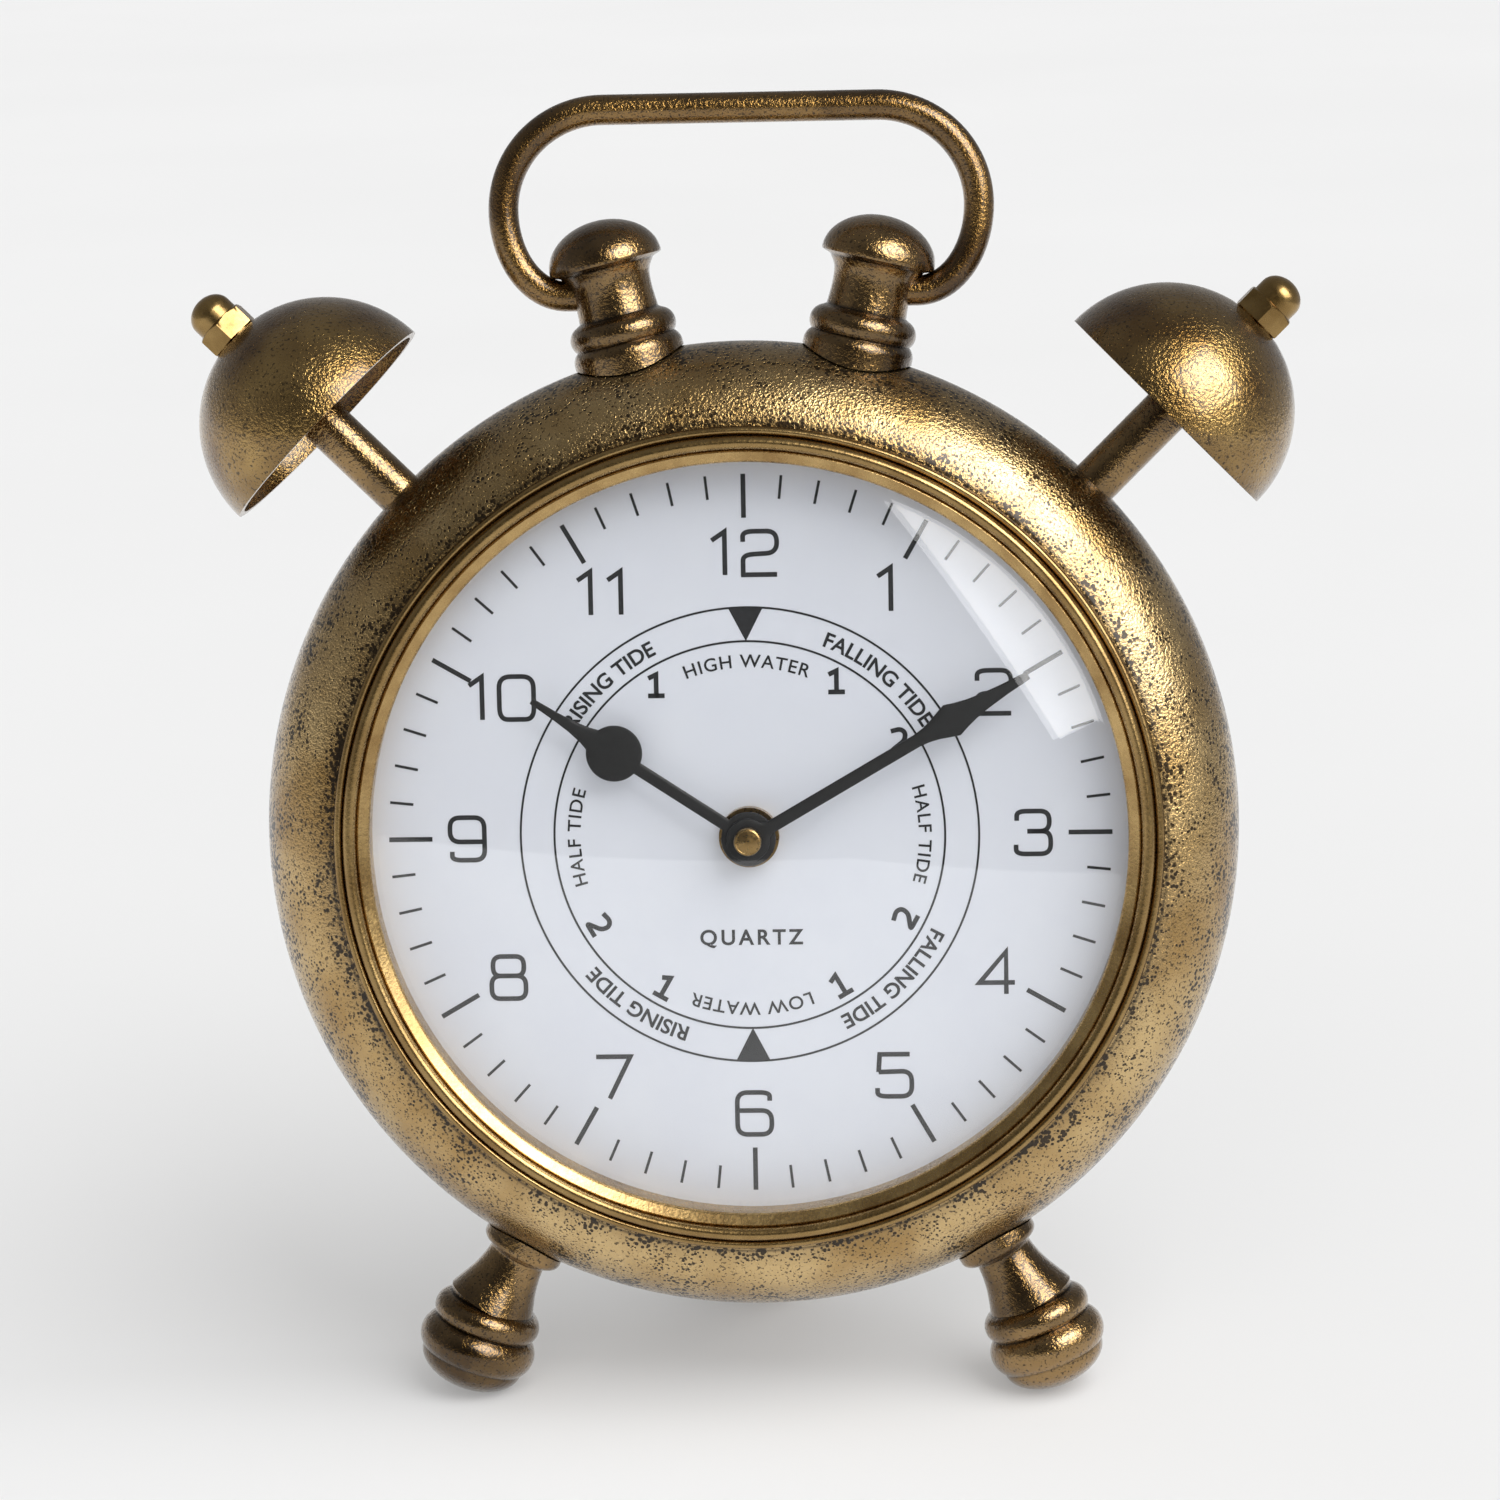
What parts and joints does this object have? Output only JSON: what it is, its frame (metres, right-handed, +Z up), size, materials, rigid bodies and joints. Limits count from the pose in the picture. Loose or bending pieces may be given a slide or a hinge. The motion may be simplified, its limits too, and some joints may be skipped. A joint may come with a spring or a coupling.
{
  "type": "table tide clock",
  "caption": "Round table clock in an antique brass case with a domed glass, tide dial, bells on stems, a swing handle on turned posts and turned feet.",
  "frame": {"origin": "on the floor under the middle of the bounding box", "axes": "+Z up, dial faces -Y, +X to the right of someone who reads the dial"},
  "size_m": [0.221, 0.0774, 0.2601],
  "materials": {
    "cast_antique_brass": "pebbled cast metal, antique brass plated",
    "polished_brass": "satin polished brass",
    "drawn_brass": "aged drawn brass rod",
    "glass": "clear domed glass",
    "rubber": "black rubber",
    "dial_white": "matt white printed sheet",
    "hand_black": "satin black sheet",
    "cover_black": "matt black sheet steel",
    "steel": "zinc plated steel",
    "movement_plastic": "black moulded plastic",
    "wheel_plastic": "white moulded plastic",
    "board": "green circuit board",
    "copper": "enamelled copper winding",
    "cell": "printed steel can"
  },
  "bodies": {
    "clock": {"case_shell": "cast_antique_brass", "bezel_ring": "polished_brass", "lens_glass": "glass", "lens_gasket": "rubber", "rehaut_ring": "polished_brass", "dial_plate": "dial_white", "back_cover": "cover_black", "back_cover_screws": "steel", "left_handle_post": "cast_antique_brass", "right_handle_post": "cast_antique_brass", "handle_post_screws": "steel", "left_bell": "cast_antique_brass", "right_bell": "cast_antique_brass", "left_bell_stem": "drawn_brass", "right_bell_stem": "drawn_brass", "bell_acorn_nuts": "polished_brass", "bell_stem_nuts": "steel", "left_front_foot": "cast_antique_brass", "right_front_foot": "cast_antique_brass", "rear_foot": "cast_antique_brass", "foot_screws": "steel", "movement_front_case": "movement_plastic", "movement_rear_case": "movement_plastic", "movement_bushing": "polished_brass", "bushing_nut": "polished_brass", "bushing_washer": "rubber", "battery_cell": "cell", "battery_contact_plus": "steel", "battery_contact_minus": "steel", "motor_stator": "steel", "motor_coil": "copper", "circuit_board": "board", "quartz_crystal": "steel"},
    "handle": {"handle_loop": "drawn_brass"},
    "minute_set": {"minute_arbor": "polished_brass", "minute_hand": "hand_black", "minute_hand_cap": "polished_brass"},
    "hour_set": {"hour_wheel": "wheel_plastic", "hour_hand": "hand_black"},
    "setting_set": {"motion_wheel": "wheel_plastic", "setting_knob": "movement_plastic"}
  },
  "joints": [
    {"name": "handle_swing", "type": "hinge", "parent": "clock", "child": "handle", "pos_m": [0, 0.01241, 0.22098], "axis": [1, 0, 0], "range_deg": [-90, 90]},
    {"name": "minute_spin", "type": "hinge", "parent": "clock", "child": "minute_set", "pos_m": [0, -0.00402, 0.11495], "axis": [0, 0.9882, -0.1532], "continuous": true},
    {"name": "hour_spin", "type": "hinge", "parent": "clock", "child": "hour_set", "pos_m": [0, -0.00402, 0.11495], "axis": [0, 0.9882, -0.1532], "continuous": true},
    {"name": "setting_spin", "type": "hinge", "parent": "clock", "child": "setting_set", "pos_m": [0, -0.0031, 0.12088], "axis": [0, 0.9882, -0.1532], "continuous": true}
  ],
  "couplings": [
    {"joint": "hour_spin", "follows": "minute_spin", "ratio": 0.083333},
    {"joint": "setting_spin", "follows": "minute_spin", "ratio": -0.33333}
  ]
}
